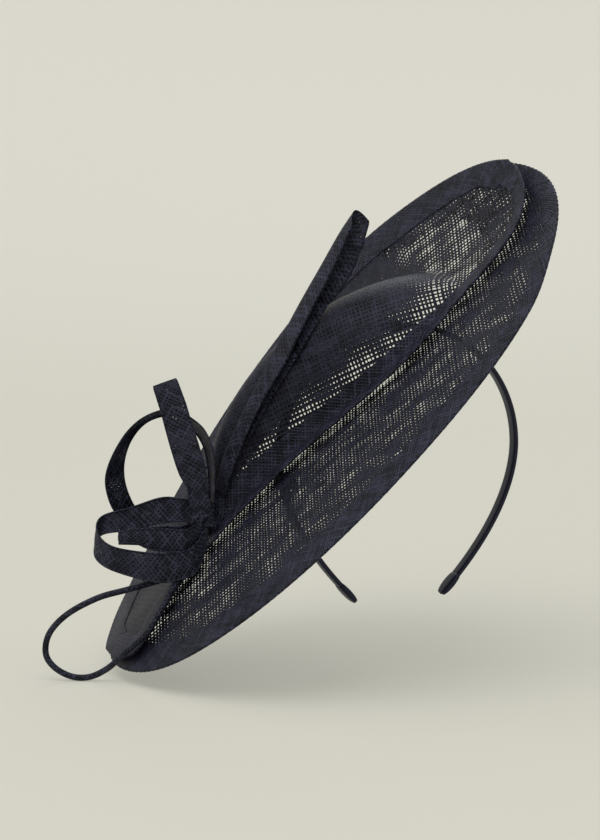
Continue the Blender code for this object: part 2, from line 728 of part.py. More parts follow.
def make_materials():
    return {
        "sinamay": make_material("sinamay", NAVY, 0.55),
        "hem": make_material("sinamay_hem", NAVY_DARK, 0.5),
        "satin": make_material("satin", SATIN, 0.35),
        "ribbon": make_material("petersham", NAVY_DARK, 0.7),
        "steel": make_material("spring_steel", STEEL, 0.3, 1.0),
    }


def build():
    clear_scene()
    collection = make_collection("fascinator")
    materials = make_materials()
    saucer(collection, materials)
    crown_piece(collection, materials)
    quill(collection, materials)
    loops(collection, materials)
    wire_loop(collection, materials)
    knot(collection, materials)
    headband(collection, materials)
    keeper("upper_keeper", UPPER_KEEPER_ARC, (0, 1, 0), materials["ribbon"], collection)
    keeper("lower_keeper", LOWER_KEEPER_ARC, (0, -1, 0), materials["ribbon"], collection)


build()
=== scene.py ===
"""Looks of the sinamay fascinator: woven cloth, hems, quill, loops and satin band on the CAD frame.

Two working frames are used, in centimetres: the disc frame (x along the disc's long axis, y across it,
z out of it) and the trim frame, which is the disc frame leant back about the long axis.
"""

import math

import bpy
import numpy as np
from mathutils import Matrix, Vector


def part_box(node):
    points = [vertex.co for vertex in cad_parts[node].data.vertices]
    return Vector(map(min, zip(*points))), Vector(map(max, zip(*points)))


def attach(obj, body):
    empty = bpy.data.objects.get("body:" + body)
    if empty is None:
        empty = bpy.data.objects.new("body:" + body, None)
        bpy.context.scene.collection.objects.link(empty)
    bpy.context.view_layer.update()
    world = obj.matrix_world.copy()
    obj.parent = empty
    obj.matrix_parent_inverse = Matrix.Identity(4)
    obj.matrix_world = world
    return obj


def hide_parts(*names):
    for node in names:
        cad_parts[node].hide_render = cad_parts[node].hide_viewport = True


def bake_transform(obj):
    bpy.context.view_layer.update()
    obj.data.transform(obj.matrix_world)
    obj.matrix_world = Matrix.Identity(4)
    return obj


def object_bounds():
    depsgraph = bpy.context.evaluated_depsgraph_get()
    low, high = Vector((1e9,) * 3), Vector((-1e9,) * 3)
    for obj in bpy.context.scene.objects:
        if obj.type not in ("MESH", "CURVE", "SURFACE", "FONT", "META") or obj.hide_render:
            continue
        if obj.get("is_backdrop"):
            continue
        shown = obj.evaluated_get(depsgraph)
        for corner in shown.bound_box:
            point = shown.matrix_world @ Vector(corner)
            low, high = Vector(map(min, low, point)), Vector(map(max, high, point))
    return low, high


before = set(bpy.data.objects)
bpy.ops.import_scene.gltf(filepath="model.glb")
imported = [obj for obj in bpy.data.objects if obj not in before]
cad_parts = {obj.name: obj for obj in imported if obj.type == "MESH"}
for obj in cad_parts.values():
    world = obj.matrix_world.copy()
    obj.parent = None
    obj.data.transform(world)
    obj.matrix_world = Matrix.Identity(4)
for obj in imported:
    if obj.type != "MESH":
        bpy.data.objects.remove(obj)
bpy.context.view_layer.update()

CM = 0.01
MM = 0.001

# Disc, as the CAD model places it.
DISC_CENTRE = Vector((-4.42, -1.29, -4.25)) * CM
DISC_TILT = math.radians(-47.5)
DISC_YAW = math.radians(-11.0)
DISC_ROLL = math.radians(-1.8)
TRIM_LEAN = math.radians(22.0)
SAUCER_A = 15.9
SAUCER_B = 9.7
# The saucer rises from its middle to its rim as this power of the way out, less towards the far side.
SAUCER_POWER = 3.1
SAUCER_POWER_LESS = 0.9
# Width of the saucer's hem round the ellipse: (degrees from the upper tip, centimetres).
SAUCER_HEM_WIDTHS = (
    (0, 1.0), (30, 1.1), (90, 1.5), (180, 1.7), (230, 1.6), (270, 1.35), (310, 1.0), (360, 1.0),
)
CROWN_HEM_WIDTH = 1.55
RIDGE_HEM_WIDTH = 0.95
LOW_HEM_MORE = 0.3  # how much wider the ridge's hem is towards the lower tip
HEM_GAP = 0.07  # from the sheet to the hem's layer on each side of it
HEM_FOLD = 0.09  # how far the fold stands out past the rim
HEM_LUMPS = 0.3  # how much the fold's depth varies along the hem
CUT_IN = 0.07  # from the rim to the sheet's cut edge
LAYER_GAP = 0.34  # between the saucer and the crown piece
RIM_PLACES = 512  # around each hem
# How far the saucer's rim is out of its plane: (degrees from the upper tip, centimetres).
RIM_HEIGHTS = (
    (0, 0.8), (20, 1.55), (45, 1.75), (65, 1.65), (90, 0.85), (120, -0.25), (141, -0.75), (160, -0.65),
    (180, -0.3), (205, -0.55), (230, -0.55), (270, -0.5), (310, -0.5), (325, -0.05), (343, 0.35),
)
OPENING = (
    (12.0, 2.2), (11.4, 0.2), (9.6, -1.1), (6.5, -1.6), (4.0, -1.55), (1.1, -0.85), (-2.1, -0.15),
    (-4.8, 0.4), (-7.5, 1.8), (-9.4, 4.0), (-6.3, 6.7), (-1.5, 7.9), (4.0, 7.7), (9.0, 5.8),
    (11.4, 4.0),
)
OPENING_CENTRE = (1.2, 2.6)
# The crown piece's raised near edge: x, y and height.
RIDGE = (
    (15.45, 2.14, 1.55), (15.42, 1.5, 1.5), (15.3, 0.8, 1.42), (15.05, 0.0, 1.3), (14.7, -0.8, 1.15),
    (14.1, -1.5, 1.0), (13.1, -2.3, 0.8), (11.1, -2.6, 0.6), (8.85, -2.65, 0.52), (6.5, -2.9, 0.5),
    (4.0, -2.85, 0.5), (1.1, -2.1, 0.5), (-2.1, -1.2, 0.5), (-4.8, -0.65, 0.45), (-7.6, -0.4, 0.4),
    (-11.0, -0.95, 0.32), (-13.2, -1.9, 0.2), (-14.6, -2.1, 0.08), (-15.25, -1.5, 0.02),
    (-15.55, -0.8, 0.0), (-15.7, -0.1, 0.0), (-15.76, 0.5, 0.0), (-15.77, 1.09, 0.0),
)
FAR_INSET = 0.15  # from the saucer's rim to the crown piece's far edge
# Inwards from a rim means towards the nearest place on these lines.
SAUCER_SPINE = ((-12.0, 0.0), (12.0, 0.0))
CROWN_SPINE = ((-13.4, -0.2), (-8.0, 3.2), (8.0, 2.6), (13.2, 1.2))
RIDGE_FALL = 5.0  # how quickly the crown piece comes down from its ridge to the saucer
# The dome: its height, and two powers that shape its profile from foot to foot.
CROWN_HEIGHT = 3.75
CROWN_BULGE = 2.2
CROWN_BLUNT = 0.9
CROWN_PEAK_X = 0.8
CROWN_REACH_UP = 8.4
CROWN_REACH_DOWN = 9.2
CROWN_FAR_FOOT = 1.1
CROWN_FAR_REACH = 3.0
CROWN_NEAR_GAP = 0.75

# Quill: its fold, its front edge and its rear edge. Strips: matching places on their two edges.
QUILL_FOLD = (
    (-6.3, 1.85, -0.05), (-5.0, 2.6, -0.25), (-3.8, 3.05, -0.45), (-2.4, 3.5, -0.7), (-0.6, 4.0, -0.8),
    (1.2, 4.5, -0.7), (3.3, 5.05, -0.55), (5.3, 5.5, -0.4), (7.2, 5.95, -0.3), (8.4, 6.15, -0.25),
)
QUILL_FRONT = (
    (-6.2, 1.3, -0.3), (-5.2, 1.85, -0.55), (-4.0, 2.3, -0.85), (-2.8, 2.75, -1.1), (-1.2, 3.2, -1.4),
    (0.5, 3.55, -1.55), (2.3, 4.1, -1.6), (3.7, 4.5, -1.5), (5.2, 4.9, -1.4), (7.7, 5.75, -1.15),
)
QUILL_REAR = (
    (-6.3, 1.45, -0.1), (-5.1, 1.95, -0.25), (-3.9, 2.2, -0.6), (-1.35, 2.85, -1.1), (1.2, 3.35, -1.45),
    (2.7, 3.7, -1.35), (4.0, 3.95, -0.95), (5.6, 4.1, -0.5), (7.1, 4.6, -0.2), (8.5, 5.3, 0.1),
)
TAIL_STRIP = (
    (-8.5, 1.35, -0.35, -7.6, 0.55, -0.55),
    (-7.35, 2.65, -0.7, -6.75, 1.95, -0.9), (-6.95, 3.65, -0.75, -5.95, 2.85, -1.1),
    (-6.4, 4.65, -0.8, -5.3, 3.9, -1.25), (-5.85, 5.55, -0.85, -4.75, 4.9, -1.3),
    (-5.35, 6.35, -0.85, -4.25, 5.75, -1.2), (-4.7, 7.5, -0.8, -3.65, 6.95, -1.0),
)
ROUND_LOOP = (
    (-7.3, 1.1, -0.75, -7.4, 1.3, 0.0),
    (-6.25, 1.95, -0.95, -6.4, 2.2, -0.1), (-5.2, 2.95, -1.05, -5.5, 3.2, -0.1),
    (-4.7, 3.8, -0.9, -5.1, 3.95, 0.2), (-4.55, 4.7, -0.55, -5.0, 4.65, 0.55),
    (-4.9, 6.0, -0.4, -5.1, 5.8, 0.8), (-6.0, 6.75, -0.35, -6.15, 6.55, 0.85),
    (-7.4, 6.9, -0.3, -7.4, 6.55, 0.85), (-9.1, 6.45, -0.15, -8.55, 6.0, 0.9),
    (-10.05, 5.7, 0.15, -9.35, 5.1, 1.05), (-10.6, 4.4, 0.75, -9.8, 3.9, 1.5),
    (-10.1, 2.9, 1.15, -9.45, 3.0, 2.15), (-9.0, 1.95, 0.85, -8.55, 2.35, 1.75),
    (-8.3, 1.3, 0.4, -8.0, 1.6, 1.0),
)
MIDDLE_LOOP = (
    (-7.3, 1.9, 0.0, -7.9, 1.15, 0.0),
    (-7.85, 2.75, 0.1, -8.7, 2.05, 0.1), (-8.5, 3.5, 0.2, -9.45, 2.7, 0.2),
    (-9.85, 4.25, 0.35, -10.75, 3.6, 0.35), (-11.0, 4.95, 0.2, -11.8, 4.4, 0.2),
    (-11.6, 4.9, -0.2, -12.5, 4.2, -0.2), (-11.9, 4.3, -0.9, -12.8, 3.65, -0.9),
    (-11.7, 3.4, -1.4, -12.55, 2.65, -1.4), (-10.65, 1.9, -1.7, -11.6, 0.9, -1.7),
    (-9.9, 1.15, -1.6, -10.8, 0.15, -1.6), (-9.1, 0.65, -1.3, -9.85, -0.25, -1.3),
    (-8.0, 0.9, -0.75, -8.4, 0.35, -0.85),
)
INNER_LOOP = (
    (-7.9, 1.4, 0.0, -8.3, 0.9, 0.0),
    (-8.75, 1.75, -0.3, -9.5, 1.1, -0.3), (-9.55, 2.55, -0.25, -10.2, 1.95, -0.25),
    (-10.75, 3.6, -0.3, -11.25, 3.15, -0.3), (-11.1, 3.85, -0.6, -11.5, 3.45, -0.6),
    (-10.5, 3.4, -0.95, -10.95, 2.95, -0.95), (-9.95, 2.85, -1.05, -10.65, 2.2, -1.05),
    (-9.3, 2.15, -1.05, -10.1, 1.4, -1.05), (-8.75, 1.5, -1.0, -9.5, 0.8, -1.0),
    (-7.9, 1.3, -0.6, -8.4, 0.7, -0.6),
)
WIRE_LOOP = (
    (-10.2, 0.55, -0.7), (-10.8, 0.45, -0.9), (-11.8, 1.0, -1.05), (-12.8, 1.6, -1.15),
    (-14.1, 2.4, -1.25), (-15.7, 2.95, -1.25), (-17.0, 2.95, -1.15), (-17.85, 2.4, -1.05),
    (-18.05, 1.6, -0.95),
    (-17.8, 0.7, -0.9), (-17.2, 0.05, -0.95), (-16.25, -0.3, -1.3), (-15.0, -0.4, -2.0),
    (-13.6, -0.5, -2.55), (-12.1, -0.18, -2.1), (-11.2, 0.05, -1.5), (-10.4, 0.18, -1.16),
)
WIRE_LOOP_RADIUS = 0.155
STRIP_CROWN = 0.05  # how far a strip's middle stands proud of its edges
STRIP_EDGE_RADIUS = 0.045
QUILL_EDGE_RADIUS = 0.07
KNOT_CENTRE = (-7.85, -0.08, 1.42)
KNOT_RADII = (0.86, 0.62, 0.55)

# Headband, as the CAD model has it.
BAND_HALF_WIDTH = 6.6 * CM
BAND_CROWN_DROP = 6.35 * CM
BAND_LEG_DROP = 6.7 * CM
LEG_CURVE = 0.01532
LEG_POWER = 1.85
SLEEVE_WIDTH = 6.5 * MM
SLEEVE_DEPTH = 2.6 * MM
TIP_LENGTH = 11 * MM
TIP_START = 0.3 * MM
TIP_HALF_DEPTH = 1.85 * MM
TIP_GIRTH = 22 * MM
TIP_OVERLAP = 2.3 * MM  # the wrapped end starts this far up the sleeve
SPLIT_ARC = -6.0 * CM  # where the two satin pieces meet, under the disc
LEFT_HINGE_ARC = -12.2 * CM
RIGHT_HINGE_ARC = 2.4 * CM
BEND_REACH = 1.0 * CM

# Point attribute: metres along the cloth's two directions, then how much closer its threads lie.
WEAVE = "weave"
BIAS = math.sqrt(0.5)
THREAD_PITCH = (2.2 * MM, 2.0 * MM)
STRIP_PITCH = (1.7 * MM, 1.7 * MM)
HEM_PITCH = (1.6 * MM, 1.6 * MM)
SATIN_RIB = 0.55 * MM
PETERSHAM_RIB = 0.8 * MM
# How far the threads of the large sheets are turned from the disc's axes.
SAUCER_WEAVE = math.radians(68)
CROWN_WEAVE = math.radians(61)
# How much closer or, below zero, opener than usual the large sheets are woven in each place.
BRIM_OPEN = 0.0
TIP_CLOSE = 0.25
COVERED_OPEN = -1.0
HOLLOW_OPEN = -0.3
RIDGE_OPEN = -0.65
DOME_CLOSE = 0.42
# Across a thread, in pitches from its edge: where the cloth ends, and how the thread rounds off.
THREAD_EDGE = (-0.03, 0.05)
THREAD_ROUND = (-0.30, 0.02)
THREAD_SEEDS = (3.7, 11.3)

# Stage, in metres. The camera's turn and lift are from straight in front.
FLOOR_RADIUS = 1.6
WALL_BEND = 1.6
WALL_HEIGHT = 3.4
CAMERA_TURN = math.radians(-25)
CAMERA_LIFT = math.radians(8)
CAMERA_DISTANCE = 1.6
CAMERA_TARGET = Vector((-0.0477, 0.01495, -0.0457))
CAMERA_LENS = 137.14
CAMERA_SENSOR = 36
LIGHTS_AIM = (-0.05, 0.0, -0.05)


# ---------------------------------------------------------------- curves and frames


def spline(points, count, closed=False):
    """Points spread along the smooth curve through the given ones."""
    points = [np.array(p, float) for p in points]
    total = len(points)
    spans = total if closed else total - 1

    def at(i):
        if closed:
            return points[i % total]
        if i < 0:
            return 2 * points[0] - points[1]
        if i >= total:
            return 2 * points[-1] - points[-2]
        return points[i]

    fine = []
    steps = 24
    for i in range(spans):
        a, b, c, d = at(i - 1), at(i), at(i + 1), at(i + 2)
        for k in range(steps):
            t = k / steps
            cubic = (2 * a - 5 * b + 4 * c - d) * t**2 + (3 * b - 3 * c + d - a) * t**3
            fine.append(0.5 * (2 * b + (c - a) * t + cubic))
    fine.append(at(spans))
    fine = np.array(fine)
    lengths = np.linalg.norm(np.diff(fine[:, : min(3, fine.shape[1])], axis=0), axis=1)
    along = np.concatenate([[0], np.cumsum(lengths)])
    wanted = np.linspace(0, along[-1], count, endpoint=not closed)
    return np.column_stack([np.interp(wanted, along, fine[:, k]) for k in range(fine.shape[1])])


def disc_frame():
    yaw_and_roll = Matrix.Rotation(DISC_YAW, 4, "Z") @ Matrix.Rotation(DISC_ROLL, 4, "X")
    turn = Matrix.Rotation(DISC_TILT, 4, "Y") @ yaw_and_roll
    return Matrix.Translation(DISC_CENTRE) @ turn @ Matrix.Scale(CM, 4)


def trim_frame():
    return disc_frame() @ Matrix.Rotation(-TRIM_LEAN, 4, "X")


def trim_point(x, rise, depth):
    return np.array((x, depth, rise))


# ---------------------------------------------------------------- cloth pieces


def lengths_along(line):
    """Metres along a line of points given in centimetres, at each of its points."""
    steps = np.linalg.norm(np.diff(line, axis=0), axis=1)
    return np.concatenate([[0], np.cumsum(steps)]) * CM


def on_bias(along, across):
    """Place in a cloth whose threads run at 45 degrees to the piece's length."""
    return (along + across) * BIAS, (along - across) * BIAS


def grid(name, columns, rows, place, weave, material, to_world):
    """A sheet: place(column, row) gives a point, weave(column, row) its place in the cloth."""
    points = np.array([[place(c, r) for r in range(rows + 1)] for c in range(columns + 1)], float)
    cloth = np.array([[weave(c, r) for r in range(rows + 1)] for c in range(columns + 1)], float)
    mesh = bpy.data.meshes.new(name)
    index = np.arange((columns + 1) * (rows + 1)).reshape(columns + 1, rows + 1)
    corners = index[:-1, :-1], index[1:, :-1], index[1:, 1:], index[:-1, 1:]
    faces = np.stack(corners, axis=-1).reshape(-1, 4)
    world = [to_world @ Vector(p) for p in points.reshape(-1, 3)]
    mesh.from_pydata(world, [], faces.tolist())
    attribute = mesh.attributes.new(WEAVE, "FLOAT_VECTOR", "POINT")
    flat = np.zeros((len(world), 3))
    flat[:, : cloth.shape[-1]] = cloth.reshape(len(world), -1)
    attribute.data.foreach_set("vector", flat.ravel())
    mesh.shade_smooth()
    mesh.materials.append(material)
    item = bpy.data.objects.new(name, mesh)
    bpy.context.scene.collection.objects.link(item)
    return item


# ---------------------------------------------------------------- disc


def rim_height(angle):
    degrees = math.degrees(angle) % 360
    count = len(RIM_HEIGHTS)
    later = next((i for i, (place, _) in enumerate(RIM_HEIGHTS) if place > degrees), count)

    def knot(i):
        place, height = RIM_HEIGHTS[i % count]
        return place + 360 * (i // count), height

    (x0, y0), (x1, y1), (x2, y2), (x3, y3) = (knot(later + k) for k in (-2, -1, 0, 1))
    slope1 = (y2 - y0) / (x2 - x0)
    slope2 = (y3 - y1) / (x3 - x1)
    span = x2 - x1
    t = (degrees - x1) / span
    rise = (2 * t**3 - 3 * t**2 + 1) * y1 + (3 * t**2 - 2 * t**3) * y2
    return rise + span * ((t**3 - 2 * t**2 + t) * slope1 + (t**3 - t**2) * slope2)


def saucer_height(x, y):
    angle = math.atan2(y / SAUCER_B, x / SAUCER_A)
    out = math.hypot(x / SAUCER_A, y / SAUCER_B)
    return rim_height(angle) * out ** (SAUCER_POWER - SAUCER_POWER_LESS * math.sin(angle))


def far_edge(x):
    return SAUCER_B * math.sqrt(max(0.0, 1 - (x / SAUCER_A) ** 2)) - FAR_INSET


RIDGE_LINE = spline(RIDGE, 600)[::-1]


def ridge_at(x):
    return (
        float(np.interp(x, RIDGE_LINE[:, 0], RIDGE_LINE[:, 1])),
        float(np.interp(x, RIDGE_LINE[:, 0], RIDGE_LINE[:, 2])),
    )


def crown_rise(x, y):
    reach = CROWN_REACH_UP if x > CROWN_PEAK_X else CROWN_REACH_DOWN
    along = abs(x - CROWN_PEAK_X) / reach
    if along >= 1:
        return 0.0
    near = ridge_at(x)[0] + CROWN_NEAR_GAP
    far = CROWN_FAR_FOOT + CROWN_FAR_REACH * math.sqrt(1 - along**2)
    across = abs(2 * (y - near) / (far - near) - 1)
    if across >= 1:
        return 0.0
    lengthwise = (1 - along**CROWN_BULGE) ** CROWN_BLUNT
    return CROWN_HEIGHT * lengthwise * (1 - across**CROWN_BULGE) ** CROWN_BLUNT


def crown_sheet_height(x, y):
    near, lift = ridge_at(x)
    far = far_edge(x)
    across = min(1.0, max(0.0, (y - near) / max(far - near, 1e-6)))
    raised = lift - saucer_height(x, near) - LAYER_GAP
    return saucer_height(x, y) + LAYER_GAP + raised * (1 - across) ** RIDGE_FALL + crown_rise(x, y)


def towards(spine, point):
    best = None
    for start, end in zip(spine, spine[1:]):
        start, end = np.array(start), np.array(end)
        run = end - start
        share = np.clip((np.array(point) - start) @ run / (run @ run), 0, 1)
        gap = start + run * share - np.array(point)
        if best is None or np.linalg.norm(gap) < np.linalg.norm(best):
            best = gap
    distance = float(np.linalg.norm(best))
    return best / distance, distance


def off_sheet(height, x, y, gap):
    step = 0.02
    slope_x = (height(x + step, y) - height(x - step, y)) / (2 * step)
    slope_y = (height(x, y + step) - height(x, y - step)) / (2 * step)
    scale = gap / math.sqrt(1 + slope_x**2 + slope_y**2)
    return x - slope_x * scale, y - slope_y * scale, height(x, y) + scale


def smooth_step(value, low, high):
    share = min(1.0, max(0.0, (value - low) / (high - low)))
    return share * share * (3 - 2 * share)


def disc_weave(turn):
    """Cloth directions that cross the disc's long axis on the bias."""
    c, s = math.cos(turn) * CM, math.sin(turn) * CM
    return lambda x, y: (c * x + s * y, -s * x + c * y)


def saucer_brim(material):
    columns, rows = 256, 40
    hole = spline(OPENING, 1440, closed=True)
    centre = np.array(OPENING_CENTRE)
    bearing = np.arctan2((hole[:, 1] - centre[1]) * SAUCER_A / SAUCER_B, hole[:, 0] - centre[0])
    cloth = disc_weave(SAUCER_WEAVE)
    edges = []
    for column in range(columns + 1):
        angle = 2 * math.pi * (column % columns) / columns
        outer = np.array((SAUCER_A * math.cos(angle), SAUCER_B * math.sin(angle)))
        outer = outer + towards(SAUCER_SPINE, outer)[0] * CUT_IN
        nearest = np.argmin(np.abs(np.angle(np.exp(1j * (bearing - angle)))))
        edges.append((hole[nearest], outer))

    def spot(column, row):
        inner, outer = edges[column]
        return inner + (outer - inner) * row / rows

    def place(column, row):
        x, y = spot(column, row)
        return x, y, saucer_height(x, y)

    def weave(column, row):
        """Close at the near side's upper tip, open where the crown piece covers it."""
        x, y = spot(column, row)
        near = BRIM_OPEN + (TIP_CLOSE - BRIM_OPEN) * smooth_step(x, 6.5, 12.0)
        return *cloth(x, y), near + (COVERED_OPEN - near) * smooth_step(y - ridge_at(x)[0], 0.0, 1.5)

    item = grid("brim_lower", columns, rows, place, weave, material, disc_frame())
    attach(item, "root")
    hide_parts("saucer_brim")


def cut_edge(line):
    return np.array([np.array(point) + towards(CROWN_SPINE, point)[0] * CUT_IN for point in line])


def crown_stations(low, high, spans):
    """x of each line across the crown piece, closer together towards the tips."""
    middle, half = (low + high) / 2, (high - low) / 2
    return [middle + half * math.cos(math.pi * i / spans) for i in range(spans + 1)]


def crown_piece(material):
    columns, rows = 220, 110
    near_cut = cut_edge(RIDGE_LINE[:, :2])
    far_cut = cut_edge([(x, far_edge(x)) for x in RIDGE_LINE[:, 0]])
    low, high = near_cut[0][0], near_cut[-1][0]
    cloth = disc_weave(CROWN_WEAVE)
    stations = crown_stations(low, high, columns)
    near = np.interp(stations, near_cut[:, 0], near_cut[:, 1])
    far = np.interp(stations, far_cut[:, 0], far_cut[:, 1])

    def spot(column, row):
        return stations[column], near[column] + (far[column] - near[column]) * row / rows

    def place(column, row):
        x, y = spot(column, row)
        return x, y, crown_sheet_height(x, y)

    surface = np.array([[place(c, r) for r in range(rows + 1)] for c in range(columns + 1)])
    steps = np.linalg.norm(np.diff(surface[:, :, 1:], axis=1), axis=2)
    across = np.hstack([np.zeros((columns + 1, 1)), np.cumsum(steps, axis=1)]) + near[:, None]

    def weave(column, row):
        """Drawn open just above the ridge and past the dome's upper end, close elsewhere."""
        x = stations[column]
        above = across[column, row] - near[column]
        drawn = smooth_step(above, 2.8, 1.3) * smooth_step(x, -8.2, -5.5) * smooth_step(x, 10.5, 8.5)
        rest = DOME_CLOSE + (HOLLOW_OPEN - DOME_CLOSE) * smooth_step(x, 7.6, 9.0)
        return *cloth(x, across[column, row]), rest + (RIDGE_OPEN - rest) * drawn

    item = grid("crown_cloth", columns, rows, place, weave, material, disc_frame())
    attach(item, "root")
    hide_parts("crown_brim")


def saucer_rim():
    rim = []
    for i in range(RIM_PLACES):
        angle = 2 * math.pi * i / RIM_PLACES
        x, y = SAUCER_A * math.cos(angle), SAUCER_B * math.sin(angle)
        rim.append((x, y, saucer_height(x, y)))
    return rim


def saucer_hem_widths():
    return np.interp(np.arange(RIM_PLACES) * 360 / RIM_PLACES, *zip(*SAUCER_HEM_WIDTHS))


def crown_rim():
    stations = crown_stations(RIDGE[-1][0], RIDGE[0][0], RIM_PLACES // 2)
    near = [(x, ridge_at(x)[0]) for x in stations]
    far = [(x, far_edge(x)) for x in stations[-2:0:-1]]
    return [(x, y, crown_sheet_height(x, y)) for x, y in near + far]


def crown_hem_widths():
    """Narrow along the ridge, wide round the far side, and changing gently at the two tips."""
    half = RIM_PLACES // 2
    blend = RIM_PLACES / 16
    widths = []
    for i in range(RIM_PLACES):
        from_tip = min(i, abs(half - i)) if i <= half else -min(i - half, RIM_PLACES - i)
        share = smooth_step(0.5 - from_tip / blend, 0.0, 1.0)
        narrow = RIDGE_HEM_WIDTH + LOW_HEM_MORE * smooth_step(min(i, RIM_PLACES - i) / half, 0.5, 0.75)
        widths.append(narrow + (CROWN_HEM_WIDTH - narrow) * share)
    return widths


def hem_section(station, rim_place, width, spine, height):
    """One line across a hem: along the top layer, round the fold and back along the bottom layer."""
    side_steps, fold_steps = 8, 6
    x, y, h = rim_place
    way, distance = towards(spine, (x, y))
    edge = np.array([x, y])
    inner = edge + way * min(width, 0.8 * distance)
    outer = edge + way * 0.02
    level = [inner + (outer - inner) * i / side_steps for i in range(side_steps + 1)]
    gaps = [HEM_GAP * min(1, 0.45 + i / 3) for i in range(side_steps + 1)]
    top = [off_sheet(height, *p, gap) for p, gap in zip(level, gaps)]
    under = [off_sheet(height, *p, -gap) for p, gap in zip(level, gaps)]
    depth = HEM_FOLD * (1 + HEM_LUMPS * math.sin(2.4 * station))
    turn = []
    for k in range(1, fold_steps):
        angle = math.pi * k / fold_steps
        out = edge - way * depth * math.sin(angle)
        turn.append((*out, h + HEM_GAP * 1.15 * math.cos(angle)))
    return np.array(top + turn + under[::-1])


def hem(name, rim, spine, height, widths, node, material):
    """Bias strip folded over the edge."""
    count = len(rim)
    sections = [
        hem_section(station, place, width, spine, height)
        for station, (place, width) in enumerate(zip(rim, widths))
    ]
    strips = [lengths_along(section) for section in sections]
    along = lengths_along(np.array(rim + rim[:1]))

    def place(column, row):
        return sections[column % count][row]

    def weave(column, row):
        across = strips[column % count]
        return on_bias(along[column], abs(across[row] - across[-1] / 2))

    rows = len(sections[0]) - 1
    item = grid(name, count, rows, place, weave, material, disc_frame())
    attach(item, "root")
    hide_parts(node)


# ---------------------------------------------------------------- quill and loops


def strip(name, rows, stations, node, material):
    """A strip between two edges, its middle a little crowned, with a rolled hem along each edge."""
    edges = spline(rows, stations + 1)
    columns = 10
    middle = (edges[:, :3] + edges[:, 3:]) / 2
    along = lengths_along(middle)
    width = float(np.mean(np.linalg.norm(edges[:, 3:] - edges[:, :3], axis=1))) * CM
    normals = []
    for row in range(stations + 1):
        run = middle[min(row + 1, stations)] - middle[max(row - 1, 0)]
        side = edges[row][3:] - edges[row][:3]
        normal = np.cross(run, side)
        normals.append(normal / np.linalg.norm(normal))

    def place(column, row):
        near, far = edges[row][:3], edges[row][3:]
        share = column / columns
        proud = normals[row] * STRIP_CROWN * (1 - (2 * share - 1) ** 2)
        return trim_point(*(near + (far - near) * share + proud))

    def weave(column, row):
        return on_bias(along[row], abs(column / columns - 0.5) * width)

    item = grid(name, columns, stations, place, weave, material, trim_frame())
    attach(item, "root")
    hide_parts(node)
    rolled_edge(f"{name}_edge_a", edges[:, :3], material, STRIP_EDGE_RADIUS)
    rolled_edge(f"{name}_edge_b", edges[:, 3:], material, STRIP_EDGE_RADIUS)


def rolled_edge(name, line, material, radius):
    """The narrow rolled hem along an edge."""
    item = cloth_tube(name, [trim_point(*p) for p in line], radius, 8, material)
    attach(item, "root")
    return item


def cloth_tube(name, line, radius, sides, material):
    """A tube in the trim frame, drawn in at its two ends."""
    last = len(line) - 1
    along = lengths_along(line)
    frames = []
    side = None
    for i in range(last + 1):
        run = line[min(i + 1, last)] - line[max(i - 1, 0)]
        run = run / np.linalg.norm(run)
        if side is None:
            side = np.cross(run, (0.0, 1.0, 0.0))
        side = side - run * (side @ run)
        side = side / np.linalg.norm(side)
        frames.append((side, np.cross(side, run)))

    def place(column, row):
        first, second = frames[row]
        angle = 2 * math.pi * column / sides
        size = radius * (0.25 if row in (0, last) else 1.0)
        return line[row] + size * (first * math.cos(angle) + second * math.sin(angle))

    def weave(column, row):
        return on_bias(along[row], 2 * math.pi * radius * CM * column / sides)

    return grid(name, sides, last, place, weave, material, trim_frame())


def quill(material):
    """A blade folded lengthwise, with a thick wired front edge and a thin rear edge."""
    stations, columns = 90, 24
    fold = spline(QUILL_FOLD, stations + 1)
    front = spline(QUILL_FRONT, stations + 1)
    rear = spline(QUILL_REAR, stations + 1)
    along = lengths_along(fold)
    widths = np.linalg.norm(fold - front, axis=1) + np.linalg.norm(fold - rear, axis=1)
    width = float(np.mean(widths)) * CM

    def place(column, row):
        share = column / columns
        bend = 2 * fold[row] - (rear[row] + front[row]) / 2
        ends = (1 - share) ** 2 * rear[row] + share**2 * front[row]
        return trim_point(*(ends + 2 * share * (1 - share) * bend))

    def weave(column, row):
        return on_bias(along[row], abs(column / columns - 0.5) * width)

    item = grid("quill_cloth", columns, stations, place, weave, material, trim_frame())
    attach(item, "root")
    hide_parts("quill_blade")
    edge = rolled_edge("quill_front_edge", front, material, QUILL_EDGE_RADIUS)
    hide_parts("quill_wire")
    rolled_edge("quill_rear_edge", rear, material, STRIP_EDGE_RADIUS)


def wire_loop(material):
    line = [trim_point(*p) for p in spline(WIRE_LOOP, 160)]
    item = cloth_tube("thin_loop", line, WIRE_LOOP_RADIUS, 14, material)
    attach(item, "root")
    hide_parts("wire_loop_cover")


def knot(material):
    """Cloth gathered round the roots: a pinched wrap with folds running round it."""
    columns, rows = 72, 40
    centre = np.array(KNOT_CENTRE)
    girth, height = 2 * math.pi * 0.6 * CM, math.pi * 0.45 * CM

    def place(column, row):
        turn = 2 * math.pi * column / columns
        climb = math.pi * (row / rows - 0.5)
        pleats = 0.055 * math.sin(9 * climb + 1.2 * math.sin(turn))
        folds = 1 + pleats + 0.03 * math.sin(3 * turn + 4 * climb)
        flat = math.cos(climb) ** 0.7
        out = (flat * math.cos(turn), flat * math.sin(turn), math.sin(climb))
        return centre + np.array(KNOT_RADII) * folds * out

    def weave(column, row):
        return on_bias(girth * column / columns, height * row / rows)

    item = grid("knot_cloth", columns, rows, place, weave, material, trim_frame())
    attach(item, "root")
    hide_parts("knot_wrap")


# ---------------------------------------------------------------- headband


